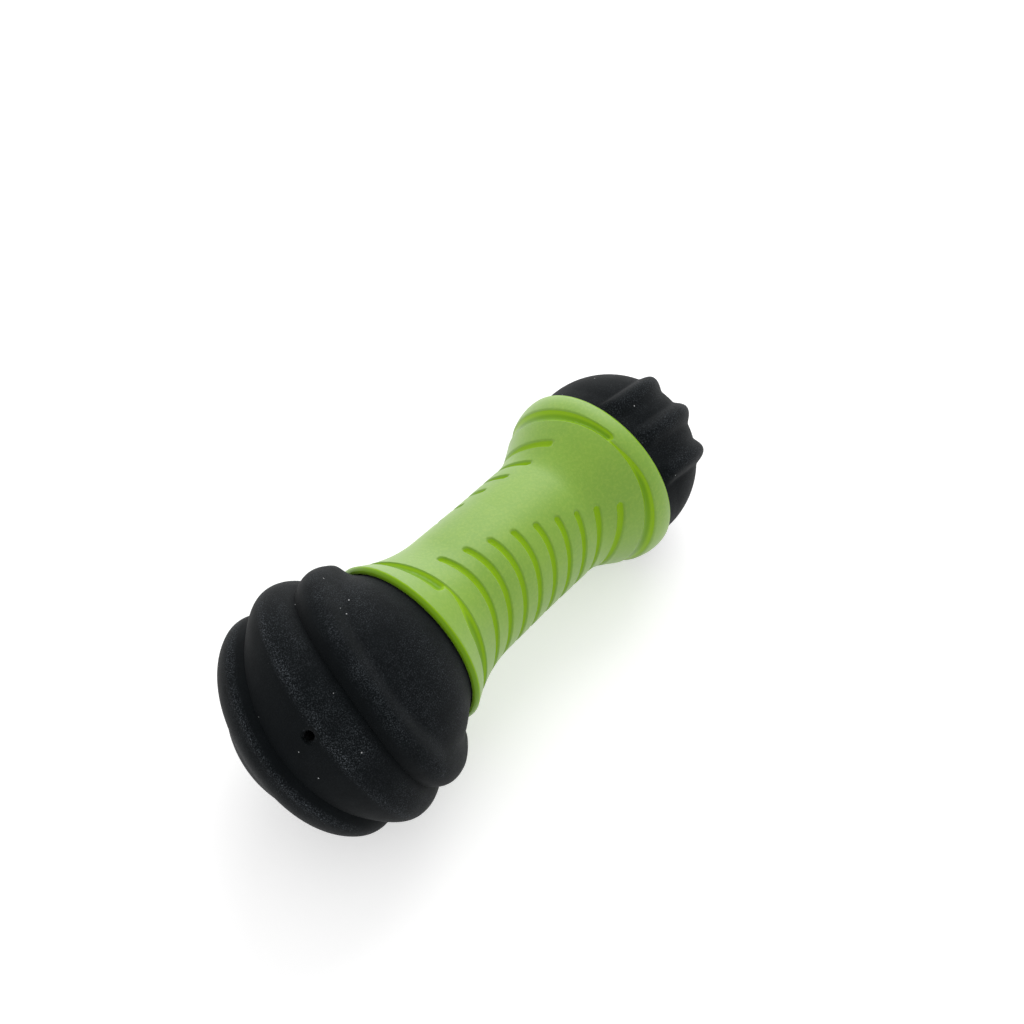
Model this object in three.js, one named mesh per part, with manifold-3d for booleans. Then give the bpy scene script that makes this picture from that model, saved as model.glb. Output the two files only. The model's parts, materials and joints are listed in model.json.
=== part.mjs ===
// Dog fetch stick: a grooved soft grip between a large ribbed rubber ball and a small ribbed rubber dome.
// Millimetres, +Z up. The stick lies on a table, ball towards -X, resting on the ball and the dome.
// Each piece is made along +X. An azimuth is an angle round X, from +Z towards -Y.
import * as THREE from "three";
import { mergeVertices } from "three/addons/utils/BufferGeometryUtils.js";
import Module from "manifold-3d";

const wasm = await Module();
wasm.setup();

// Grip sleeve, outside. Its waist is thicker at the ball's end than in the middle by its taper. A collar's
// crown is 0 for a flare that opens right up to the rim, and about 1 for one that levels out.
const gripLength = 83.8;
const waistLength = 36;
const waistRadius = 19.2;
const waistTaper = 0.4;
const ballCollarRadius = 25.8;
const ballCollarCrown = 0;
const domeCollarRadius = 27.2;
const domeCollarCrown = 1.2;

// Rounded edge of each rim, and the lip between it and the head
const ballEdgeLength = 1.6;
const ballEdgeDrop = 1.2;
const domeEdgeLength = 0.8;
const domeEdgeDrop = 0.7;
const lipWidth = 0.3;

// Finger grooves: two opposite sets of arcs, whose ends step round the waist from groove to groove. They bow
// along the stick, towards the dome at the bow azimuth and opposite it, and towards the ball between.
const grooveCount = 9;
const groovePitch = 6.5;
const grooveShift = 0.3;
const grooveSection = 1.2;
const grooveDepth = 1;
const grooveSweep = 112;
const grooveStep = 7.8;
const grooveFirstAzimuth = -9;
const grooveBow = 3;
const bowAzimuth = 25;

// Ring groove behind each rim: two half rings with a bridge between them at the mould's parting line
const ringSetback = 7.5;
const ringSection = 1.7;
const ringDepth = 1.2;
const ringBridge = 5;
const ringBow = 2;
const partingAzimuth = 17;

// Heads: the plug that seats in the sleeve, the seat for the core's flange, and the neck that rises from
// the rim to the head's sphere. Ribs die away over the neck.
const plugDepth = 8.7;
const plugTaper = 4.8;
const flangeSeat = 5;
const seatGap = 0.3;
const tipGap = 1;
const neckLength = 5;

// Ball head. Its sphere is sunk at the creases between the ribs, and at the tip past the last rib.
const ballCentre = 23.2;
const ballNeckRise = 3.4;
const ballWall = 7;
const neckRibHeight = 3;
const middleRibHeight = 3;
const tipRibHeight = 2.6;
const creaseDepth = 0.5;
const tipSink = 1.8;
const ballRingTilt = 44;
const ballRingAzimuth = 143;
const ventRadius = 1.55;
const ventTilt = 44.6;
const ventAzimuth = -27.2;

// Latitudes on the ball's sphere, about its ring axis: the neck rib from its foot to its crest, then the
// crease, the middle rib's crest, the other crease, and the tip rib from its crest to its foot.
const neckRibLatitudes = [-38, -25];
const lineLatitudes = [-14, 0, 14];
const tipRibLatitudes = [25, 58];

// The same three lines on the vent's side and a quarter turn from it: the middle rib leaves room for the
// vent. Past the free latitude, nothing shifts.
const lineLatitudesAtVent = [-22, -5, 19.5];
const lineLatitudesAtSide = [-14.2, -0.5, 11.8];
const freeLatitude = 46;

// Dome head, with three beads by latitude on its sphere
const domeCentre = 5.9;
const domeNeckRise = -0.3;
const domeRibHeight = 2.3;
const domeRingTilt = 84;
const domeRingAzimuth = -60;
const ribSpacing = 27;
const ribHalfWidth = 9;

// Core tube
const tubeRadius = 11;
const tubeBore = 7.5;
const flangeRadius = 16;
const flangeRim = 2.5;
const barbLength = 6;
const barbTipRadius = 10;

// Facets
const turnSegments = 44;
const ribbedSegments = 36;
const ballRibSteps = 4;
const domeRibSteps = 3;
const flareSteps = 7;
const edgeSteps = 2;
const arcSteps = 10;
const grooveFacet = 19;
const grooveSides = 3;
const ventSides = 10;
const mergeTolerance = 1e-4;
const sliverSize = 0.01;

// How far a cut runs past a face, and the rounds of tipping until both ends touch the table
const cutPast = 1;
const settleRounds = 4;

const halfLength = gripLength / 2;
const boreRadius = tubeRadius + seatGap;
const ballPlugRadius = ballCollarRadius - ballEdgeDrop - lipWidth - seatGap;
const domePlugRadius = domeCollarRadius - domeEdgeDrop - lipWidth - seatGap;
const ballRadius = Math.hypot(ballPlugRadius + ballNeckRise, ballCentre - neckLength);
const domeRadius = Math.hypot(domePlugRadius + domeNeckRise, domeCentre - neckLength);
const degrees = THREE.MathUtils.degToRad;

// Unit vector at a tilt from +X, leaning towards an azimuth.
function direction(tilt, azimuth) {
  const t = degrees(tilt);
  const a = degrees(azimuth);
  return new THREE.Vector3(Math.cos(t), -Math.sin(t) * Math.sin(a), Math.sin(t) * Math.cos(a));
}

// Closed geometry as a solid that can be joined and cut.
function solid(geometry) {
  const bare = geometry.clone();
  bare.deleteAttribute("normal");
  bare.deleteAttribute("uv");
  const merged = mergeVertices(bare, mergeTolerance);
  const vertProperties = new Float32Array(merged.getAttribute("position").array);
  const triVerts = new Uint32Array(merged.index.array);
  return new wasm.Manifold(new wasm.Mesh({ numProp: 3, vertProperties, triVerts }));
}

// Solid turned about X from [x, radius] points, in the order that keeps the material on the left.
function turned(points, segments = turnSegments) {
  const profile = points.map(([x, radius]) => new THREE.Vector2(radius, x));
  return solid(new THREE.LatheGeometry(profile, segments).rotateZ(-Math.PI / 2));
}

// Points of an arc about [centre, 0] from one angle to another, in degrees from +X.
function arc(centre, radius, from, to, steps) {
  const points = [];
  for (let i = 0; i <= steps; i++) {
    const angle = degrees(from + ((to - from) * i) / steps);
    points.push([centre + radius * Math.cos(angle), radius * Math.sin(angle)]);
  }
  return points;
}

// Angle, in degrees from +X, at which a circle about [centre, 0] passes a given x.
function angleAt(x, centre, radius) {
  return THREE.MathUtils.radToDeg(Math.acos((x - centre) / radius));
}

// Named mesh of a finished solid, cleared of the slivers that cuts leave.
function piece(name, shape, material) {
  const made = shape.simplify(sliverSize).getMesh();
  const geometry = new THREE.BufferGeometry();
  geometry.setAttribute("position", new THREE.BufferAttribute(made.vertProperties, made.numProp));
  geometry.setIndex(new THREE.BufferAttribute(made.triVerts, 1));
  geometry.computeVertexNormals();
  const mesh = new THREE.Mesh(geometry, material);
  mesh.name = name;
  return mesh;
}

// Outer radius of the sleeve: a slightly tapered waist with a flare at each end.
function sleeveRadius(x) {
  const [collar, crown] = x < 0 ? [ballCollarRadius, ballCollarCrown] : [domeCollarRadius, domeCollarCrown];
  const flareLength = halfLength - waistLength / 2 - (x < 0 ? ballEdgeLength : domeEdgeLength);
  const s = THREE.MathUtils.clamp((Math.abs(x) - waistLength / 2) / flareLength, 0, 1);
  const waist = waistRadius + waistTaper * THREE.MathUtils.clamp((-2 * x) / waistLength, 0, 1);
  return waist + (collar - waist) * s * s * (1 + 2 * crown * (1 - s));
}

// One end of the sleeve's profile, from the waist's edge round the rim to the bore. The socket follows
// the cone of the head's plug at the seat gap. Side is -1 at the ball and 1 at the dome.
function sleeveEnd(side, edgeLength, edgeDrop, plugRadius) {
  const points = [];
  for (let i = 0; i <= flareSteps; i++) {
    const x = waistLength / 2 + ((halfLength - edgeLength - waistLength / 2) * i) / flareSteps;
    points.push([x, sleeveRadius(side * x)]);
  }
  const socketMouth = plugRadius + seatGap;
  const socketDepth = plugDepth + seatGap;
  for (let i = 1; i <= edgeSteps; i++) {
    const turn = degrees((90 * i) / edgeSteps);
    const x = halfLength - edgeLength * (1 - Math.sin(turn));
    points.push([x, socketMouth + lipWidth + edgeDrop * Math.cos(turn)]);
  }
  points.push([halfLength, socketMouth]);
  points.push([halfLength - socketDepth, socketMouth - (plugTaper * socketDepth) / plugDepth]);
  points.push([halfLength - socketDepth, boreRadius]);
  return points.map(([x, radius]) => [side * x, radius]);
}

// Path of a groove round X: an arc at a given height over the sleeve, which bows along X.
class GrooveArc extends THREE.Curve {
  constructor(x, height, start, sweep, bow) {
    super();
    this.x = x;
    this.height = height;
    this.start = start;
    this.sweep = sweep;
    this.bow = bow;
  }

  getPoint(t, target = new THREE.Vector3()) {
    const azimuth = this.start + this.sweep * t;
    const x = this.x + this.bow * Math.cos(2 * degrees(azimuth - bowAzimuth));
    return target.copy(direction(90, azimuth)).multiplyScalar(sleeveRadius(x) + this.height).setX(x);
  }
}

// Cutter for a groove round the sleeve: a round section swept along an arc, sunk to a given depth.
function groove(x, section, depth, start, sweep, bow) {
  const extrudePath = new GrooveArc(x, section - depth, start, sweep, bow);
  const shape = new THREE.Shape().absarc(0, 0, section, 0, 2 * Math.PI);
  const steps = Math.ceil(sweep / grooveFacet);
  const options = { extrudePath, steps, curveSegments: grooveSides, bevelEnabled: false };
  return solid(new THREE.ExtrudeGeometry(shape, options));
}

function gripSleeve() {
  const ballEnd = sleeveEnd(-1, ballEdgeLength, ballEdgeDrop, ballPlugRadius).reverse();
  const domeEnd = sleeveEnd(1, domeEdgeLength, domeEdgeDrop, domePlugRadius);
  let sleeve = turned([...ballEnd, [0, sleeveRadius(0)], ...domeEnd, ballEnd[0]]);
  const ringX = halfLength - ringSetback;
  for (const turn of [0, 180]) {
    for (let i = 0; i < grooveCount; i++) {
      const x = grooveShift + (i - (grooveCount - 1) / 2) * groovePitch;
      const start = grooveFirstAzimuth + grooveStep * i + turn;
      sleeve = sleeve.subtract(groove(x, grooveSection, grooveDepth, start, grooveSweep, grooveBow));
    }
    for (const x of [-ringX, ringX]) {
      const start = partingAzimuth + ringBridge / 2 + turn;
      sleeve = sleeve.subtract(groove(x, ringSection, ringDepth, start, 180 - ringBridge, ringBow));
    }
  }
  return sleeve;
}

// Points spread evenly between stops, which they keep.
function spread(stops, steps) {
  const points = [stops[0]];
  for (let i = 1; i < stops.length; i++) {
    for (let j = 1; j <= steps; j++) points.push(stops[i - 1] + ((stops[i] - stops[i - 1]) * j) / steps);
  }
  return points;
}

// Result at a value, along straight lines between stops and the results that go with them.
function between(value, stops, results) {
  const i = Math.max(1, stops.findIndex((stop) => value <= stop));
  return THREE.MathUtils.mapLinear(value, stops[i - 1], stops[i], results[i - 1], results[i]);
}

// Ball's surface at a latitude: where it truly lies, and its height over the sphere. Swell is 1 on the
// vent's side and opposite it, where the middle rib is a ridge over a hollow. It is 0 halfway between
// them, where that rib is round.
function ballForm(latitude, swell) {
  const lines = lineLatitudesAtSide.map((side, i) => side + (lineLatitudesAtVent[i] - side) * swell);
  const stops = [-90, -freeLatitude, ...lineLatitudes, freeLatitude, 90];
  const trueLatitude = between(latitude, stops, [-90, -freeLatitude, ...lines, freeLatitude, 90]);
  const [neckCrease, crest, tipCrease] = lineLatitudes;
  const [neckFoot, neckCrest] = neckRibLatitudes;
  const [tipCrest, tipFoot] = tipRibLatitudes;
  let height;
  if (latitude < neckCrease) {
    const toCrest = Math.max(0, (latitude - neckCrest) / (neckCrease - neckCrest));
    const stand = THREE.MathUtils.smoothstep(latitude, neckFoot, neckCrest);
    height = (neckRibHeight - (neckRibHeight + creaseDepth) * toCrest * toCrest) * stand;
  } else if (latitude <= tipCrease) {
    const s = (latitude - crest) / (latitude < crest ? crest - neckCrease : tipCrease - crest);
    const round = 1 - s * s;
    const ridge = s < 0 ? round : (1 - s) * (1 - s);
    height = (middleRibHeight + creaseDepth) * (round + (ridge - round) * swell) - creaseDepth;
  } else {
    const toCrest = Math.max(0, (tipCrest - latitude) / (tipCrest - tipCrease));
    const fall = (tipRibHeight + tipSink) * THREE.MathUtils.smoothstep(latitude, tipCrest, tipFoot);
    height = tipRibHeight - (tipRibHeight + creaseDepth) * toCrest * toCrest - fall;
  }
  return [trueLatitude, height];
}

// Dome's surface at a latitude: a round bead stands on each of its three rib rings.
function domeForm(latitude) {
  const fromRib = Math.min(...[-1, 0, 1].map((i) => Math.abs(latitude - i * ribSpacing)));
  const s = Math.min(fromRib / ribHalfWidth, 1);
  return [latitude, domeRibHeight * (1 - s * s) ** 2];
}

// Sphere shaped rib by rib about its own ring axis. Its ribs die away towards the rim plane at x = 0.
function ribbedSphere(radius, centre, ringAxis, facing, latitudes, form) {
  const profile = latitudes.map(degrees).map((angle) => new THREE.Vector2(Math.cos(angle), Math.sin(angle)));
  profile[0].setX(0);
  profile.at(-1).setX(0);
  const sphere = new THREE.LatheGeometry(profile, ribbedSegments);
  const side = new THREE.Vector3().crossVectors(ringAxis, facing).normalize();
  const basis = new THREE.Matrix4().makeBasis(side, ringAxis, side.clone().cross(ringAxis));
  const points = sphere.getAttribute("position");
  const point = new THREE.Vector3();
  for (let i = 0; i < points.count; i++) {
    point.fromBufferAttribute(points, i);
    const turn = Math.atan2(point.x, point.z);
    const latitude = THREE.MathUtils.radToDeg(Math.asin(THREE.MathUtils.clamp(point.y, -1, 1)));
    const [trueLatitude, height] = form(latitude, Math.cos(turn) ** 2);
    point.setFromSphericalCoords(1, degrees(90 - trueLatitude), turn).applyMatrix4(basis);
    const fromRim = centre + radius * point.x;
    point.multiplyScalar(radius + height * THREE.MathUtils.smoothstep(fromRim, 0, neckLength));
    points.setXYZ(i, point.x + centre, point.y, point.z);
  }
  return solid(sphere);
}

// Outside of a head, with the rim plane at x = 0: a ribbed sphere on a neck and a tapered plug.
function headOutside(plugRadius, neckRise, sphere) {
  const plugSide = [[-plugDepth, 0], [-plugDepth, plugRadius - plugTaper], [0, plugRadius]];
  const plug = turned([...plugSide, [neckLength, plugRadius + neckRise], [neckLength, 0]]);
  const past = sphere.boundingBox().max.reduce((sum, most) => sum + most);
  return sphere.add(plug).intersect(turned([...plugSide, [0, past], [past, past], [past, 0]]));
}

// Hollow ball: a round cavity with a flat seat for the core's flange, and a vent hole through the wall.
function ballHead() {
  const ringAxis = direction(ballRingTilt, ballRingAzimuth);
  const ventDirection = direction(ventTilt, ventAzimuth);
  const stops = [-90, -freeLatitude, ...neckRibLatitudes, ...lineLatitudes, ...tipRibLatitudes, 90];
  const latitudes = spread(stops, ballRibSteps);
  const sphere = ribbedSphere(ballRadius, ballCentre, ringAxis, ventDirection, latitudes, ballForm);
  const outside = headOutside(ballPlugRadius, ballNeckRise, sphere);
  const cavityRadius = ballRadius - ballWall;
  const wall = arc(ballCentre, cavityRadius, angleAt(flangeSeat, ballCentre, cavityRadius), 0, arcSteps);
  wall.at(-1)[1] = 0;
  const past = -plugDepth - cutPast;
  const cavity = turned([[past, 0], [past, boreRadius], [flangeSeat, boreRadius], ...wall]);
  const ventLength = ballWall + middleRibHeight;
  const vent = new THREE.CylinderGeometry(ventRadius, ventRadius, 2 * ventLength, ventSides);
  vent.applyQuaternion(new THREE.Quaternion().setFromUnitVectors(new THREE.Vector3(0, 1, 0), ventDirection));
  vent.translate(...ventDirection.multiplyScalar(ballRadius).toArray()).translate(ballCentre, 0, 0);
  return outside.subtract(cavity).subtract(solid(vent));
}

// Dome: solid rubber round a pocket that the core's flange snaps into.
function domeHead() {
  const ringAxis = direction(domeRingTilt, domeRingAzimuth);
  const outward = new THREE.Vector3(1, 0, 0);
  const halfway = (90 + ribSpacing + ribHalfWidth) / 2;
  const ribs = [-ribSpacing, 0, ribSpacing].flatMap((rib) => [rib - ribHalfWidth, rib, rib + ribHalfWidth]);
  const latitudes = spread([-90, -halfway, ...ribs, halfway, 90], domeRibSteps);
  const sphere = ribbedSphere(domeRadius, domeCentre, ringAxis, outward, latitudes, domeForm);
  const outside = headOutside(domePlugRadius, domeNeckRise, sphere);
  const pocketRadius = flangeRadius + seatGap;
  const past = -plugDepth - cutPast;
  const straight = flangeSeat + seatGap + flangeRim;
  const pocketEnd = straight + barbLength + tipGap;
  const pocket = turned([
    [past, 0],
    [past, boreRadius],
    [flangeSeat, boreRadius],
    [flangeSeat, pocketRadius],
    [straight, pocketRadius],
    [pocketEnd, barbTipRadius],
    [pocketEnd, 0],
  ]);
  return outside.subtract(pocket);
}

// Stiff tube with a barbed flange at each end, which holds both heads to the sleeve.
function coreTube() {
  const flangeFace = halfLength + flangeSeat + seatGap;
  const flangeEdge = flangeFace + flangeRim;
  const tip = flangeEdge + barbLength;
  const outer = [
    [flangeFace, tubeRadius],
    [flangeFace, flangeRadius],
    [flangeEdge, flangeRadius],
    [tip, barbTipRadius],
  ];
  const otherOuter = outer.map(([x, radius]) => [-x, radius]).reverse();
  return turned([...otherOuter, ...outer, [tip, tubeBore], [-tip, tubeBore], otherOuter[0]]);
}

const greenRubber = new THREE.MeshStandardMaterial({ color: 0x9bc350, roughness: 0.5, metalness: 0 });
const blackRubber = new THREE.MeshStandardMaterial({ color: 0x222427, roughness: 0.85, metalness: 0 });
const stiffPlastic = new THREE.MeshStandardMaterial({ color: 0xd8d8d2, roughness: 0.6, metalness: 0 });

const sleeve = piece("grip_sleeve", gripSleeve(), greenRubber);
const core = piece("core_tube", coreTube(), stiffPlastic);
const ball = piece("ball_head", ballHead(), blackRubber);
ball.position.x = -halfLength;
ball.rotation.z = Math.PI;
const dome = piece("dome_head", domeHead(), blackRubber);
dome.position.x = halfLength;

// Height of the lowest of some meshes in a group that has been moved.
function lowest(group, meshes) {
  group.updateMatrixWorld(true);
  return Math.min(...meshes.map((mesh) => new THREE.Box3().setFromObject(mesh, true).min.z));
}

// The stick tips until its ball and its other end both touch the table, and stands centred over the origin.
const stick = new THREE.Group();
stick.add(sleeve, core, ball, dome);
const span = 2 * halfLength + ballCentre + domeCentre;
for (let i = 0; i < settleRounds; i++) {
  stick.rotation.y += Math.asin((lowest(stick, [dome, sleeve]) - lowest(stick, [ball])) / span);
}
const box = new THREE.Box3().setFromObject(stick, true);
const middle = box.getCenter(new THREE.Vector3());
stick.position.set(-middle.x, -middle.y, -box.min.z);

const fetchStick = new THREE.Group();
fetchStick.add(stick);

export default fetchStick;
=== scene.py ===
"""Looks of a dog fetch stick: grooved grip, ribbed ball and ribbed dome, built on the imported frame.

The pieces are shaped in millimetres along the stick's own axis, +X from the ball to the dome, and are
then put in place in metres. An azimuth is an angle round that axis, from +Z towards -Y.
"""
import json
from math import asin, atan2, cos, degrees, hypot, pi, radians, sin, sqrt

import bmesh
import bpy
from mathutils import Matrix, Vector


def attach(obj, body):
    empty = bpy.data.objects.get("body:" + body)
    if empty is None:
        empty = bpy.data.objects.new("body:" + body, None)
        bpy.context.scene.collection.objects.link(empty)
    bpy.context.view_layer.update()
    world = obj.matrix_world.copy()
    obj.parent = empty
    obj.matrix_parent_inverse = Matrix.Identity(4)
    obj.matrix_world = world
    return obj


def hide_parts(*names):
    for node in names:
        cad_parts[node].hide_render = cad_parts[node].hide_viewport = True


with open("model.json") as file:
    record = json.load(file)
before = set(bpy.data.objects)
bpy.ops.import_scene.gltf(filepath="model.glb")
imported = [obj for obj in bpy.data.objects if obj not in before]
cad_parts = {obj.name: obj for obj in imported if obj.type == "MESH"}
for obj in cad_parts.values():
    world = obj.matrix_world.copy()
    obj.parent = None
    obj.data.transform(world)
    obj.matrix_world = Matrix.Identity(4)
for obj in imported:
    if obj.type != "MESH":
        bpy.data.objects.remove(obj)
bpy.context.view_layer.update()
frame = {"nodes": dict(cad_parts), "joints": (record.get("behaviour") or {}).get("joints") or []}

MM = 0.001
WELD = 0.0005
SHARP_ANGLE = radians(42)

# Grip sleeve. Side -1 is the ball's end and side 1 is the dome's.
HALF_LENGTH = 41.9
HALF_WAIST = 18
WAIST_RADIUS = 19.2
WAIST_TAPER = 0.4
COLLAR = {-1: 25.8, 1: 27.2}
COLLAR_CROWN = {-1: 0, 1: 1.2}
EDGE_LENGTH = {-1: 1.6, 1: 0.8}
EDGE_DROP = {-1: 1.2, 1: 0.7}
LIP_WIDTH = 0.3
LIP_BEVEL = 0.12
SEAT_GAP = 0.3
SLEEVE_STEPS = 336
EDGE_TURNS = range(10, 91, 10)
SKIN_TOLERANCE = 0.01
RIM_GLOSS = 0.3

# Places of the sleeve's profile points: to both sides of a groove, then from the rim's edge inwards
ACROSS_GROOVE = (0, 0.3, 0.55, 0.8, 0.95, 1.1, 1.25, 1.45, 1.9, 2.5, 3.2)
ACROSS_RING = (0, 0.4, 0.8, 1.1, 1.4, 1.6, 1.8, 2.1, 2.7, 3.5)
RIM_STATIONS = 8
RIM_STATION_STEP = 0.5
STATION_GAP = 0.12

# Finger grooves. The mark is what a full finger groove counts for in the groove attribute, where a full
# ring groove counts for 1.
GROOVE_COUNT = 9
GROOVE_PITCH = 6.5
GROOVE_SHIFT = 0.3
GROOVE_HALF_WIDTH = 1.2
GROOVE_DEPTH = 1.0
GROOVE_FULLNESS = 1.15
GROOVE_END = 0.8
FINGER_MARK = 0.6
GROOVE_SWEEP = 112
GROOVE_STEP = 7.8
GROOVE_FIRST = -9

# Ring groove behind each rim, in two halves. Each half starts thin, past the blunt end of the other half,
# and widens along its taper to its own blunt end.
RING_PLACE = HALF_LENGTH - 7.5
RING_HALF_WIDTH = 1.75
RING_DEPTH = 1.2
RING_START = 0.35
RING_END = 0.5
RING_OVERLAP = 8
RING_BRIDGE = 3
RING_TAPER = 36
PARTING_AZIMUTH = {-1: 16, 1: 19}

# How far the grooves bow along the stick, at places along half of it: towards the dome at the bow
# azimuth and opposite it, and towards the ball between
BOW_AZIMUTH = 25
BOW_PLACES = (0, 27, RING_PLACE, 39.5, HALF_LENGTH)
BOWS = (3, 3, 2, 0, 0)

# Both heads: the plug that seats in the sleeve, the neck, the flange's seat, and the steps of the meshes.
# Latitudes are counted from the plane of a head's middle rib, which leans by the ring tilt.
PLUG_DEPTH = 8.7
PLUG_TAPER = 4.8
RIM_TUCK = 0.7
NECK_LENGTH = 5
LEAST_DIVISOR = 0.5
FLANGE_SEAT = 5
BORE_RADIUS = 11.3
FINE_LIMIT = 48
COARSE_STEP = 4
COARSE_COUNT = 11
HEAD_STEPS = 288
LINER_STEPS = 96

# Ball
BALL_CENTRE = 23.2
BALL_NECK_RISE = 3.4
BALL_WALL = 7
BALL_RING_TILT = 44
BALL_RING_AZIMUTH = 143
BALL_FINE = 0.75
CAVITY_STEPS = 24

# Ribs of the ball. The tip rib's wall is shorter and steeper by its losses on the vent's side.
NECK_RIB_RISE = 3.0
NECK_RIB_WALL = 10.5
NECK_RIB_FALL = (26, 38)
MIDDLE_RIB_RISE = 3.0
RIDGE_NECK_POWER = 1.6
RIDGE_TIP_POWER = 1.9
RIDGE_ROUNDING = 0.08
TIP_RIB_RISE = 2.6
TIP_RIB_WALL = 11
TIP_WALL_LOSS = 6
TIP_POWER_LOSS = 0.7
TIP_FALL = (24, 58)
TIP_SINK = 1.8
RIB_WALL_POWER = 2.2
CREASE_SINK = 0.5

# Vent of the ball. Its mouth is given by places along the drill from the ball's surface, and by how much
# wider it is worn there.
VENT_RADIUS = 1.5
VENT_DEPTH = 10
VENT_RISE = 1.2
VENT_STEPS = 48
VENT_TILT = 44.6
VENT_AZIMUTH = -27.2
VENT_MOUTH = ((-0.6, 0), (-0.2, 0.12), (0.2, 0.5), (2, 2.2))

# Dome
DOME_CENTRE = 5.9
DOME_NECK_RISE = -0.3
DOME_RING_TILT = 84
DOME_RING_AZIMUTH = -60
DOME_RIB_RISE = 2.3
DOME_FINE = 1
RIB_SPACING = 27
BEAD_LOWER_WIDTH = 9.5
BEAD_UPPER_WIDTH = 8.0
BEAD_POWER = 1.5
DOME_POCKET_RADIUS = 16.3
DOME_POCKET_SHOULDER = 7.8
DOME_POCKET_END = 14.8
DOME_POCKET_TOP = 10

BALL_PLUG_RADIUS = COLLAR[-1] - EDGE_DROP[-1] - LIP_WIDTH - SEAT_GAP
DOME_PLUG_RADIUS = COLLAR[1] - EDGE_DROP[1] - LIP_WIDTH - SEAT_GAP
BALL_RADIUS = hypot(BALL_PLUG_RADIUS + BALL_NECK_RISE, BALL_CENTRE - NECK_LENGTH)
DOME_RADIUS = hypot(DOME_PLUG_RADIUS + DOME_NECK_RISE, DOME_CENTRE - NECK_LENGTH)

# Latitudes of the ball's neck crease, middle crest and tip crease: as spun, then on the vent's side of
# the ball, then a quarter turn from it. Beyond the limit, latitudes stay as spun.
CREASE = 14
LATITUDE_LIMIT = 46
LINES_AS_SPUN = (-CREASE, 0, CREASE)
LINES_AT_VENT = (-22, -5, 21.5)
LINES_AT_SIDE = (-14.2, -0.5, 11.8)

# Share of the dust that holds at latitudes of the ball as spun, from the neck over the three crests to
# the tip, and on the dome between its beads and on top of them. On the ball the layout is also painted
# light: most on the crests as a painted highlight, little on the walls, in the creases and in the vent's
# hollow as painted shade. On the dome the larger share on top of the beads makes their crests lighter.
BALL_DUST_AND_LIGHT_PLACES = (-90, -30, -25, -22, -18, -13, -10, -2, -0.8, 0.8, 2, 16.5, 18.5, 20, 23, 34, 90)
BALL_DUST_AND_LIGHT = (0.25, 0.5, 0.9, 0.5, 0.05, 0.1, 0.5, 0.6, 1.2, 1.2, 0.1, 0.05, 1, 1, 0.4, 0.15, 0.1)
DOME_DUST = 0.25
DOME_CREST_LIGHTENING = 0.35

# Stage
AMBIENT = 0.75
FLOOR_LIFT = 0.45
FLOOR_REACH = 3
LAMP_TARGET = (0, 0, 0.03)
CAMERA_PLACE = (-0.238344, -0.211986, 0.485147)
CAMERA_LOOK = (0.463068, 0.387146, -0.797299)
CAMERA_LENS = 70.3125


def stick_place():
    """Matrix from the stick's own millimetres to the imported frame, read from the ball's joint."""
    joint = next(j for j in frame["joints"] if j["name"] == "ball_turn")
    axis = Vector(joint["axis"]).normalized()
    middle = Vector(joint["pos_m"]) + axis * (HALF_LENGTH + BALL_CENTRE) * MM
    lean = Matrix.Rotation(atan2(-axis.z, axis.x), 4, "Y")
    return Matrix.Translation(middle) @ lean @ Matrix.Scale(MM, 4)


STICK = stick_place()
BALL_PLACE = STICK @ Matrix.Translation((-HALF_LENGTH, 0, 0)) @ Matrix.Rotation(pi, 4, "Z")
DOME_PLACE = STICK @ Matrix.Translation((HALF_LENGTH, 0, 0))


def clamp(value, low=0.0, high=1.0):
    """Value held between two limits."""
    return min(max(value, low), high)


def smooth(low, high, value):
    """Eased step from 0 at low to 1 at high."""
    s = clamp((value - low) / (high - low))
    return s * s * (3 - 2 * s)


def between(value, stops, results):
    """Straight-line steps from a list of rising stops to the results that go with them."""
    for low, high, first, last in zip(stops, stops[1:], results, results[1:]):
        if value <= high:
            return first + (last - first) * (value - low) / (high - low)
    return results[-1]


def direction(tilt, azimuth):
    """Unit vector at a tilt from +X, leaning towards an azimuth."""
    t, a = radians(tilt), radians(azimuth)
    return Vector((cos(t), -sin(t) * sin(a), sin(t) * cos(a)))


def arc(centre_x, radius, start, end, steps):
    """Points (x, r) of an arc round a centre on the axis, with angles in degrees from +x towards +r."""
    angles = [radians(start + (end - start) * i / steps) for i in range(steps + 1)]
    return [(centre_x + radius * cos(a), radius * sin(a)) for a in angles]


def spun(mesh, points, steps, closed=False):
    """Adds a surface turned about X from points (x, r)."""
    verts = [mesh.verts.new((x, 0, r)) for x, r in points]
    pairs = list(zip(verts, verts[1:]))
    if closed:
        pairs.append((verts[-1], verts[0]))
    edges = [mesh.edges.new(pair) for pair in pairs]
    bmesh.ops.spin(mesh, geom=verts + edges, cent=(0, 0, 0), axis=(1, 0, 0), steps=steps, angle=2 * pi,
                   use_merge=True)


def sealed(mesh):
    """Welds seams and poles, and turns the faces outwards."""
    bmesh.ops.remove_doubles(mesh, verts=mesh.verts, dist=WELD)
    bmesh.ops.recalc_face_normals(mesh, faces=mesh.faces)


def as_object(mesh, name):
    """Object made from a bmesh, still in millimetres."""
    data = bpy.data.meshes.new(name)
    mesh.to_mesh(data)
    mesh.free()
    piece = bpy.data.objects.new(name, data)
    bpy.context.scene.collection.objects.link(piece)
    return piece


def fitted(piece, place, body, node, material):
    """Puts a piece in its place on the frame, where it stands for one CAD node."""
    piece.data.transform(place)
    piece.data.shade_smooth()
    piece.data.set_sharp_from_angle(angle=SHARP_ANGLE)
    piece.data.materials.clear()
    piece.data.materials.append(material)
    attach(piece, body)
    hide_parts(node)


# Grip sleeve

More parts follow.
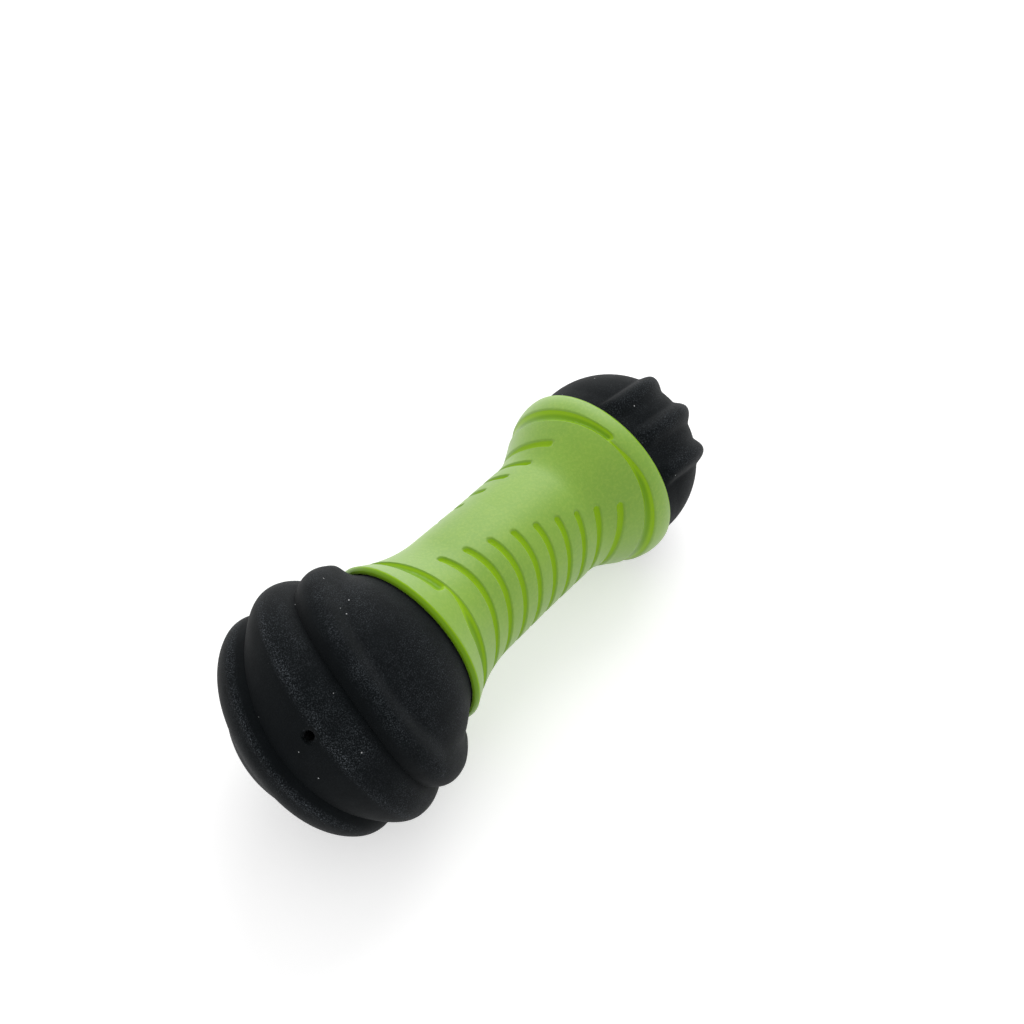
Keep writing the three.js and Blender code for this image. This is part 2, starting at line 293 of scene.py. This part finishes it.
def sleeve_radius(x):
    """Outer radius: a slightly tapered waist with a flare at each end."""
    side = -1 if x < 0 else 1
    s = clamp((abs(x) - HALF_WAIST) / (HALF_LENGTH - EDGE_LENGTH[side] - HALF_WAIST))
    waist = WAIST_RADIUS + WAIST_TAPER * clamp(-x / HALF_WAIST)
    return waist + (COLLAR[side] - waist) * s * s * (1 + 2 * COLLAR_CROWN[side] * (1 - s))


def sleeve_stations():
    """Places along the sleeve's outside that its profile needs, close together over the grooves."""
    wanted = []
    for i in range(GROOVE_COUNT):
        centre = GROOVE_SHIFT + (i - (GROOVE_COUNT - 1) / 2) * GROOVE_PITCH
        wanted += [centre + turn * offset for offset in ACROSS_GROOVE for turn in (-1, 1)]
    for side in (-1, 1):
        flare_end = HALF_LENGTH - EDGE_LENGTH[side]
        wanted += [side * RING_PLACE + turn * offset for offset in ACROSS_RING for turn in (-1, 1)]
        wanted += [side * (flare_end - RIM_STATION_STEP * k) for k in range(RIM_STATIONS)]
    stations = []
    for x in sorted(wanted):
        if not stations or x - stations[-1] > STATION_GAP:
            stations.append(x)
    return [x for x in stations if abs(x) <= HALF_LENGTH - EDGE_LENGTH[-1 if x < 0 else 1]]


def sleeve_end(side):
    """Points from the rounded edge across the lip, down the socket to the bore."""
    mouth = COLLAR[side] - EDGE_DROP[side] - LIP_WIDTH
    depth = PLUG_DEPTH + SEAT_GAP
    points = []
    for turn in EDGE_TURNS:
        x = HALF_LENGTH - EDGE_LENGTH[side] * (1 - sin(radians(turn)))
        points.append((x, COLLAR[side] - EDGE_DROP[side] * (1 - cos(radians(turn)))))
    points += [(HALF_LENGTH, mouth + LIP_BEVEL), (HALF_LENGTH - LIP_BEVEL, mouth)]
    points.append((HALF_LENGTH - depth, mouth - PLUG_TAPER * depth / PLUG_DEPTH))
    points.append((HALF_LENGTH - depth, BORE_RADIUS))
    return [(side * x, r) for x, r in points]


def past_end(past, start, stop, radius, half_width):
    """Millimetres past the point where a groove's rounded end begins, 0 along its length."""
    short = degrees(half_width / radius)
    outside = max(start + short - past, past - (stop - short))
    return max(0.0, radians(outside) * radius)


def finger_groove(x, azimuth, radius):
    """Share of the full depth that the nearest finger groove has here, 0 outside it."""
    index = (x - GROOVE_SHIFT) / GROOVE_PITCH + (GROOVE_COUNT - 1) / 2
    nearest = clamp(round(index), 0, GROOVE_COUNT - 1)
    across = abs(index - nearest) * GROOVE_PITCH
    spare = (180 - GROOVE_SWEEP) / 2
    past = (azimuth - GROOVE_FIRST - GROOVE_STEP * nearest + spare) % 180 - spare
    end = past_end(past, 0, GROOVE_SWEEP, radius, GROOVE_END * GROOVE_HALF_WIDTH)
    s = hypot(across, end) / GROOVE_HALF_WIDTH
    return (1 - s * s) ** GROOVE_FULLNESS if s < 1 else 0.0


def ring_half(from_ring, past, radius):
    """Share of the full depth that one half of a ring groove has here.

    It starts thin on the waist's side, beside the blunt end of the other half, and widens to its own.
    """
    widened = smooth(0, RING_TAPER, past)
    half_width = RING_HALF_WIDTH * (RING_START + (1 - RING_START) * widened)
    across = from_ring + (1 - RING_START) * RING_HALF_WIDTH * (1 - widened)
    end = past_end(past, -RING_OVERLAP, 180 - RING_BRIDGE, radius, RING_END * half_width)
    s = hypot(across, end) / half_width
    return (1 - s * s) * half_width / RING_HALF_WIDTH if s < 1 else 0.0


def ring_groove(x, azimuth, radius):
    """Share of the full depth that a ring groove has here, 0 outside it."""
    past = (azimuth - PARTING_AZIMUTH[-1 if x < 0 else 1]) % 180
    return max(ring_half(abs(x) - RING_PLACE, turned, radius) for turned in (past, past - 180))


def carve_sleeve(vert, depth):
    """Sinks the grooves into one point of the sleeve's outside and marks how deep it lies.

    The rim's edge is marked like a groove, because it is as glossy, and the mark also gives it the ring
    grooves' darker colour, which is painted shade.
    """
    x, y, z = vert.co
    radius = hypot(y, z)
    flare_end = HALF_LENGTH - EDGE_LENGTH[-1 if x < 0 else 1]
    if radius > sleeve_radius(x) - SKIN_TOLERANCE and abs(x) < flare_end + SKIN_TOLERANCE:
        azimuth = degrees(atan2(-y, z))
        finger = finger_groove(x, azimuth, radius)
        ring = ring_groove(x, azimuth, radius)
        x += between(abs(x), BOW_PLACES, BOWS) * cos(2 * radians(azimuth - BOW_AZIMUTH))
        sunk = sleeve_radius(x) - GROOVE_DEPTH * finger - RING_DEPTH * ring
        vert.co = (x, y * sunk / radius, z * sunk / radius)
        vert[depth] = max(FINGER_MARK * finger, ring)
    elif abs(x) > flare_end:
        vert[depth] = smooth(0, RIM_GLOSS, (abs(x) - flare_end) / (HALF_LENGTH - flare_end))


def make_sleeve(material):
    """Turned sleeve with two sets of finger grooves round its waist and a ring groove behind each rim."""
    mesh = bmesh.new()
    outside = [(x, sleeve_radius(x)) for x in sleeve_stations()]
    spun(mesh, outside + sleeve_end(1) + sleeve_end(-1)[::-1], SLEEVE_STEPS, closed=True)
    sealed(mesh)
    depth = mesh.verts.layers.float.new("groove")
    for vert in mesh.verts:
        carve_sleeve(vert, depth)
    piece = as_object(mesh, "grooved_sleeve")
    fitted(piece, STICK, "stick", "grip_sleeve", material)


# Ribbed heads

def ring_frame(axis, facing):
    """Matrix whose Z is a head's ring axis and whose X leans towards a direction."""
    z = axis.normalized()
    x = (facing - z * facing.dot(z)).normalized()
    return Matrix((x, z.cross(x), z)).transposed()


def rib_latitudes(creases, fine):
    """Latitudes that a ribbed head's profile needs: coarse near the poles, fine over the ribs."""
    poles = [90 - COARSE_STEP * i for i in range(COARSE_COUNT)]
    ribs = [-FINE_LIMIT + fine * i for i in range(int(2 * FINE_LIMIT / fine) + 1)]
    return sorted({*poles, *(-pole for pole in poles), *ribs, *creases})


def ball_latitude(latitude, swell):
    """True latitude of a profile point. The middle rib parts from the tip rib round the vent."""
    lines = [side + (vent - side) * swell for side, vent in zip(LINES_AT_SIDE, LINES_AT_VENT)]
    stops = (-90, -LATITUDE_LIMIT, *LINES_AS_SPUN, LATITUDE_LIMIT, 90)
    return between(latitude, stops, (-90, -LATITUDE_LIMIT, *lines, LATITUDE_LIMIT, 90))


def ball_rise(latitude, swell):
    """Height of the ball's surface over its sphere: three ribs with two creases, and a flatter tip.

    Away from the vent the middle rib is round. Beside it, the rib is a ridge over the vent's hollow.
    """
    if abs(latitude) <= CREASE:
        s = latitude / CREASE
        if s < 0:
            ridge = 1 - abs(s) ** RIDGE_NECK_POWER
        else:
            ridge = (1 - hypot(s, RIDGE_ROUNDING) + RIDGE_ROUNDING) ** RIDGE_TIP_POWER
        share = 1 - s * s + (ridge - 1 + s * s) * swell
        return (MIDDLE_RIB_RISE + CREASE_SINK) * share - CREASE_SINK
    past = abs(latitude) - CREASE
    if latitude < 0:
        wall = 1 - (1 - clamp(past / NECK_RIB_WALL)) ** RIB_WALL_POWER
        fall = 1 - smooth(*NECK_RIB_FALL, -latitude)
        return ((NECK_RIB_RISE + CREASE_SINK) * wall - CREASE_SINK) * fall
    width = TIP_RIB_WALL - TIP_WALL_LOSS * swell
    wall = 1 - (1 - clamp(past / width)) ** (RIB_WALL_POWER - TIP_POWER_LOSS * swell)
    fall = (TIP_RIB_RISE + TIP_SINK) * smooth(*TIP_FALL, latitude)
    return (TIP_RIB_RISE + CREASE_SINK) * wall - CREASE_SINK - fall


def dome_latitude(latitude, swell):
    """True latitude of a profile point, which is the one as spun all round the dome."""
    return latitude


def dome_rise(latitude, swell):
    """Height of the dome's surface over its sphere: three narrow beads, a little wider on one side."""
    rise = 0.0
    for i in (-1, 0, 1):
        past = latitude - i * RIB_SPACING
        half_width = BEAD_LOWER_WIDTH if past < 0 else BEAD_UPPER_WIDTH
        s = clamp(abs(past) / half_width)
        rise += DOME_RIB_RISE * (1 - s * s) ** BEAD_POWER
    return rise


def ball_dust_and_light(latitude):
    """How readily dust holds on the ball, laid out as painted light too: most on the crests as a painted
    highlight, least on the walls and round the vent as painted shade.
    """
    return between(latitude, BALL_DUST_AND_LIGHT_PLACES, BALL_DUST_AND_LIGHT)


def dome_dust_and_light(latitude):
    """Share of dust on the dome: an even share, and more on the crests of the beads, which makes them
    lighter.
    """
    return DOME_DUST + DOME_CREST_LIGHTENING * dome_rise(latitude, 0) / DOME_RIB_RISE


def neck_reach(way, centre, plug_radius, neck_rise):
    """Distance from a head's centre, along a unit vector, to the cone of its neck.

    Nearly straight back the cone is out of reach, and what is made there is cut away at the rim plane.
    """
    slope = neck_rise / NECK_LENGTH
    return (plug_radius + slope * centre) / max(hypot(way.y, way.z) - slope * way.x, LEAST_DIVISOR)


def ribbed_skin(mesh, head, basis, latitudes, rise, dust_and_light_share, true_latitude):
    """Adds a head's outside, spun about its ring axis and shaped rib by rib, open at the rim plane."""
    centre, radius, plug_radius, neck_rise = head
    verts = [mesh.verts.new((cos(radians(a)), 0, sin(radians(a)))) for a in latitudes]
    edges = [mesh.edges.new(pair) for pair in zip(verts, verts[1:])]
    bmesh.ops.spin(mesh, geom=verts + edges, cent=(0, 0, 0), axis=(0, 0, 1), steps=HEAD_STEPS,
                   angle=2 * pi, use_merge=True)
    bmesh.ops.remove_doubles(mesh, verts=mesh.verts, dist=WELD)
    # Per-point share of dust and of painted light: lighter crests as painted highlight, darker creases as
    # painted shade.
    dust_and_painted_light = mesh.verts.layers.float.new("dust_and_painted_light")
    for vert in mesh.verts:
        latitude = degrees(asin(clamp(vert.co.z, -1, 1)))
        turn = atan2(vert.co.y, vert.co.x)
        swell = cos(turn) ** 2
        true = radians(true_latitude(latitude, swell))
        way = basis @ Vector((cos(true) * cos(turn), cos(true) * sin(turn), sin(true)))
        from_rim = centre + radius * way.x
        reach = radius
        if from_rim <= NECK_LENGTH:
            reach = neck_reach(way, centre, plug_radius, neck_rise)
        height = rise(latitude, swell) * smooth(0, NECK_LENGTH, from_rim)
        vert.co = Vector((centre, 0, 0)) + way * (reach + height)
        vert[dust_and_painted_light] = dust_and_light_share(latitude)
    everything = list(mesh.verts) + list(mesh.edges) + list(mesh.faces)
    bmesh.ops.bisect_plane(mesh, geom=everything, plane_co=(0, 0, 0), plane_no=(1, 0, 0),
                           clear_inner=True)


def lined(mesh, liner):
    """Adds a head's inside, turned about X, and joins its mouth to the open rim of the skin."""
    spun(mesh, liner, LINER_STEPS)
    bmesh.ops.remove_doubles(mesh, verts=mesh.verts, dist=WELD)
    bmesh.ops.bridge_loops(mesh, edges=[edge for edge in mesh.edges if edge.is_boundary])
    sealed(mesh)


def plug_profile(plug_radius):
    """Points of the plug that seats in the sleeve, from under the rim to the bore's mouth."""
    tuck = plug_radius - PLUG_TAPER * RIM_TUCK / PLUG_DEPTH
    return [(-RIM_TUCK, tuck), (-PLUG_DEPTH, plug_radius - PLUG_TAPER), (-PLUG_DEPTH, BORE_RADIUS)]


def vent_cutter(reach):
    """Drill for the vent: a straight hole with a slightly worn mouth."""
    mesh = bmesh.new()
    profile = [(reach - VENT_DEPTH, 0), (reach - VENT_DEPTH, VENT_RADIUS)]
    profile += [(reach + along, VENT_RADIUS + wider) for along, wider in VENT_MOUTH]
    profile.append((profile[-1][0], 0))
    spun(mesh, profile, VENT_STEPS)
    sealed(mesh)
    turn = Vector((1, 0, 0)).rotation_difference(direction(VENT_TILT, VENT_AZIMUTH))
    bmesh.ops.rotate(mesh, verts=mesh.verts, matrix=turn.to_matrix())
    bmesh.ops.translate(mesh, verts=mesh.verts, vec=(BALL_CENTRE, 0, 0))
    return as_object(mesh, "vent_cutter")


def drilled(piece, cutter):
    """Cuts a hole through a piece and clears the cutter away."""
    cut = piece.modifiers.new("vent", "BOOLEAN")
    cut.operation = "DIFFERENCE"
    cut.solver = "EXACT"
    cut.object = cutter
    graph = bpy.context.evaluated_depsgraph_get()
    data = bpy.data.meshes.new_from_object(piece.evaluated_get(graph))
    piece.modifiers.clear()
    piece.data = data
    bpy.data.objects.remove(cutter)


def make_ball(material):
    """Hollow ball with three lobed ribs, a flange seat inside its neck and a vent hole."""
    mesh = bmesh.new()
    vent = direction(VENT_TILT, VENT_AZIMUTH)
    basis = ring_frame(direction(BALL_RING_TILT, BALL_RING_AZIMUTH), vent)
    latitudes = rib_latitudes(LINES_AS_SPUN, BALL_FINE)
    head = (BALL_CENTRE, BALL_RADIUS, BALL_PLUG_RADIUS, BALL_NECK_RISE)
    ribbed_skin(mesh, head, basis, latitudes, ball_rise, ball_dust_and_light, ball_latitude)
    cavity = BALL_RADIUS - BALL_WALL
    seat_angle = 180 - degrees(asin(sqrt(cavity ** 2 - (BALL_CENTRE - FLANGE_SEAT) ** 2) / cavity))
    wall = arc(BALL_CENTRE, cavity, seat_angle, 0, CAVITY_STEPS)
    lined(mesh, plug_profile(BALL_PLUG_RADIUS) + [(FLANGE_SEAT, BORE_RADIUS)] + wall)
    piece = as_object(mesh, "ribbed_ball")
    drilled(piece, vent_cutter(BALL_RADIUS + VENT_RISE))
    fitted(piece, BALL_PLACE, "ball", "ball_head", material)


def make_dome(material):
    """Solid dome with three narrow ribs, round a pocket for the core's flange."""
    mesh = bmesh.new()
    basis = ring_frame(direction(DOME_RING_TILT, DOME_RING_AZIMUTH), Vector((1, 0, 0)))
    head = (DOME_CENTRE, DOME_RADIUS, DOME_PLUG_RADIUS, DOME_NECK_RISE)
    latitudes = rib_latitudes((), DOME_FINE)
    ribbed_skin(mesh, head, basis, latitudes, dome_rise, dome_dust_and_light, dome_latitude)
    pocket = [(FLANGE_SEAT, BORE_RADIUS), (FLANGE_SEAT, DOME_POCKET_RADIUS)]
    pocket += [(DOME_POCKET_SHOULDER, DOME_POCKET_RADIUS), (DOME_POCKET_END, DOME_POCKET_TOP)]
    lined(mesh, plug_profile(DOME_PLUG_RADIUS) + pocket + [(DOME_POCKET_END, 0)])
    piece = as_object(mesh, "ribbed_dome")
    fitted(piece, DOME_PLACE, "dome", "dome_head", material)


# Materials

class Shade:
    """One output of a material's nodes. Arithmetic on it adds Math nodes."""

    def __init__(self, tree, socket=None):
        self.tree = tree
        self.socket = socket

    def add(self, kind, sockets, out=0, **settings):
        """Adds a node: its settings first, then its sockets' values or links. Returns one output."""
        node = self.tree.nodes.new(kind)
        for name, value in settings.items():
            setattr(node, name, value)
        for key, value in sockets.items():
            if isinstance(value, Shade):
                self.tree.links.new(value.socket, node.inputs[key])
            else:
                node.inputs[key].default_value = value
        return Shade(self.tree, node.outputs[out])

    def math(self, operation, first, second=0.0):
        return self.add("ShaderNodeMath", {0: first, 1: second}, operation=operation)

    def __add__(self, other):
        return self.math("ADD", self, other)

    def __sub__(self, other):
        return self.math("SUBTRACT", self, other)

    def __rsub__(self, other):
        return self.math("SUBTRACT", other, self)

    def __mul__(self, other):
        return self.math("MULTIPLY", self, other)

    __radd__ = __add__

    def step(self, low, high):
        """Eased step from 0 at low to 1 at high."""
        span = {"Value": self, "From Min": low, "From Max": high}
        return self.add("ShaderNodeMapRange", span, interpolation_type="SMOOTHSTEP")

    def blend(self, first, second):
        """Colour that goes from the first to the second as this goes from 0 to 1."""
        return self.add("ShaderNodeMix", {0: self, 6: first, 7: second}, out=2, data_type="RGBA")


def tint(red, green, blue):
    """Linear colour from the 0 to 255 levels that a picture shows."""
    def linear(level):
        share = level / 255
        return share / 12.92 if share <= 0.04045 else ((share + 0.055) / 1.055) ** 2.4
    return (linear(red), linear(green), linear(blue), 1.0)


def grey(level):
    """Linear grey."""
    return (level, level, level, 1.0)


def new_material(name, **constants):
    """Material whose shader's constant sockets are set. Returns it, the shader and a Shade."""
    material = bpy.data.materials.new(name)
    material.use_nodes = True
    shader = material.node_tree.nodes["Principled BSDF"]
    for key, value in constants.items():
        shader.inputs[key.replace("_", " ")].default_value = value
    return material, shader, Shade(material.node_tree)


def object_place(nodes):
    """Place on the object, in metres."""
    return nodes.add("ShaderNodeTexCoord", {}, out="Object")


def noise(nodes, place, scale, detail, roughness):
    """Noise value, centred on 0.5, with features about 1 / scale metres across."""
    sockets = {"Vector": place, "Scale": scale, "Detail": detail, "Roughness": roughness}
    return nodes.add("ShaderNodeTexNoise", sockets)


def bumped(nodes, strength, distance, height):
    """Normal that a height raises, with the distance in metres."""
    sockets = {"Strength": strength, "Distance": distance, "Height": height}
    return nodes.add("ShaderNodeBump", sockets, out="Normal")


def link_surface(nodes, shader, **outputs):
    """Links outputs to the shader's sockets of the same names."""
    for key, value in outputs.items():
        nodes.tree.links.new(value.socket, shader.inputs[key.replace("_", " ")])


def rubber_with_dust_and_painted_light():
    """Charcoal rubber, matte, with dust in its fine grain and a few pale specks. The dust is laid out as
    painted light too: most on the crests of the ribs as a painted highlight, least in the creases as
    painted shade.
    """
    material, shader, nodes = new_material("rubber_with_dust_and_painted_light", Specular_IOR_Level=0.03, Sheen_Weight=0.035,
                                           Sheen_Roughness=0.5)
    place = object_place(nodes)
    dust_and_light_share = nodes.add("ShaderNodeAttribute", {}, out="Fac", attribute_name="dust_and_painted_light")
    grain = noise(nodes, place, 3000, 3, 0.65)
    patch = noise(nodes, place, 75, 3, 0.6)
    cloud = noise(nodes, place, 260, 2, 0.5)
    # Pale powder where the dust share is high: real dust, and also a painted highlight on the crests,
    # with painted shade in the creases where the share is low.
    pale_dust_and_light = grain.step(0.46, 0.74) * dust_and_light_share * (patch.step(0.3, 0.7) * 0.8 + 0.3)
    cells = {"Vector": place, "Scale": 220, "Randomness": 1.0}
    speck_distance = nodes.add("ShaderNodeTexVoronoi", cells, out="Distance")
    speck_pick = nodes.add("ShaderNodeTexVoronoi", cells, out="Color")
    chosen = nodes.add("ShaderNodeSeparateColor", {"Color": speck_pick}).step(0.4, 0.45)
    specks = (1 - speck_distance.step(0.03, 0.055)) * chosen
    dark = cloud.blend(tint(9, 12, 14), tint(16, 20, 22))
    dusted_and_lit = pale_dust_and_light.blend(dark, tint(87, 92, 97))
    colour = (specks * 0.75).blend(dusted_and_lit, tint(205, 207, 208))
    bump = bumped(nodes, 0.35, 0.00012, grain + cloud * 1.5)
    matte = 0.66 + pale_dust_and_light * 0.25 - cloud * 0.12
    link_surface(nodes, shader, Base_Color=colour, Roughness=matte, Normal=bump)
    return material


def satin_grip():
    """Yellow-green soft rubber: hazy satin on the outside, clear and glossy down in the grooves. The
    finger grooves are painted lighter as painted light against their own shade, and the ring grooves and
    the rim's edge darker as painted shade.
    """
    material, shader, nodes = new_material("satin_grip", Specular_IOR_Level=0.15, Sheen_Weight=0.12,
                                           Sheen_Roughness=0.5, Coat_IOR=1.6, Coat_Roughness=0.5)
    place = object_place(nodes)
    groove = nodes.add("ShaderNodeAttribute", {}, out="Fac", attribute_name="groove")
    deep = groove.step(0.08, 0.38)
    ring = groove.step(FINGER_MARK, 0.95)
    tooth = noise(nodes, place, 1150, 3, 0.6)
    mottle = noise(nodes, place, 55, 3, 0.55)
    skin = mottle.step(0.3, 0.7).blend(tint(112, 157, 4), tint(121, 165, 10))
    powdered = (tooth.step(0.4, 0.7) * 0.3).blend(skin, tint(150, 182, 50))
    # Groove colour: painted light in the finger grooves, coloured brighter to make up for their shade,
    # and painted shade in the ring grooves and on the rim's edge, which take a darker copy of it.
    clear = ring.blend(tint(144, 188, 4), tint(114, 160, 2))
    colour = deep.blend(powdered, clear)
    height = (tooth + mottle * 0.5) * (1 - deep)
    bump = bumped(nodes, 0.6, 0.00015, height)
    satin = 0.52 + mottle * 0.1 - deep * 0.36
    link_surface(nodes, shader, Base_Color=colour, Roughness=satin, Coat_Weight=1 - deep, Normal=bump)
    return material


def pale_plastic():
    """Plain moulded plastic of the hidden core, with faint flow marks."""
    material, shader, nodes = new_material("pale_plastic", Specular_IOR_Level=0.5)
    place = object_place(nodes)
    flow = noise(nodes, place, 120, 3, 0.5)
    colour = flow.blend(tint(214, 213, 206), tint(228, 227, 221))
    bump = bumped(nodes, 0.15, 0.0001, flow)
    link_surface(nodes, shader, Base_Color=colour, Roughness=0.42 + flow * 0.15, Normal=bump)
    return material


# Stage

def seen_directly(nodes):
    """1 for rays that the camera, a mirror or glass sends out, 0 for rays that carry light."""
    rays = [nodes.add("ShaderNodeLightPath", {}, out=name)
            for name in ("Is Camera Ray", "Is Glossy Ray", "Is Transmission Ray")]
    return rays[0].math("MAXIMUM", rays[0].math("MAXIMUM", rays[0], rays[1]), rays[2])


def make_floor():
    """White floor under the stick. It shows the stick's shadow and is white elsewhere."""
    mesh = bmesh.new()
    bmesh.ops.create_grid(mesh, x_segments=1, y_segments=1, size=FLOOR_REACH)
    floor = as_object(mesh, "floor")
    material, shader, nodes = new_material("white_floor", Base_Color=tint(232, 232, 232), Roughness=0.9,
                                           Emission_Strength=1.0)
    glow = seen_directly(nodes).blend(grey(0), grey(FLOOR_LIFT))
    link_surface(nodes, shader, Emission_Color=glow)
    floor.data.materials.append(material)


def make_world():
    """Even white surroundings: soft light for the stick, plain white to the camera."""
    world = bpy.data.worlds.new("white_room")
    world.use_nodes = True
    bpy.context.scene.world = world
    nodes = Shade(world.node_tree)
    background = world.node_tree.nodes["Background"]
    link_surface(nodes, background, Color=seen_directly(nodes).blend(grey(AMBIENT), grey(1)))


def soft_lamp(name, place, size, power):
    """Round area lamp that faces the stick."""
    lamp = bpy.data.lights.new(name, "AREA")
    lamp.shape = "DISK"
    lamp.size = size
    lamp.energy = power
    holder = bpy.data.objects.new(name, lamp)
    holder.location = place
    holder.rotation_euler = (Vector(LAMP_TARGET) - Vector(place)).to_track_quat("-Z", "Y").to_euler()
    bpy.context.scene.collection.objects.link(holder)


def make_camera():
    """The photograph's view, from above the ball's end."""
    camera = bpy.data.cameras.new("photo_view")
    camera.sensor_width = 36
    camera.lens = CAMERA_LENS
    camera.clip_start = 0.01
    holder = bpy.data.objects.new("photo_view", camera)
    holder.location = CAMERA_PLACE
    holder.rotation_euler = Vector(CAMERA_LOOK).to_track_quat("-Z", "Y").to_euler()
    bpy.context.scene.collection.objects.link(holder)
    bpy.context.scene.camera = holder


rubber = rubber_with_dust_and_painted_light()
make_sleeve(satin_grip())
make_ball(rubber)
make_dome(rubber)
core = frame["nodes"]["core_tube"]
core.data.materials.clear()
core.data.materials.append(pale_plastic())

make_floor()
make_world()
soft_lamp("high_back_softbox", (0.75, 0.35, 0.75), 0.9, 5.2)
soft_lamp("low_back_softbox", (0.8, 0.75, 0.25), 0.7, 1.8)
make_camera()
bpy.context.scene.view_settings.view_transform = "Standard"
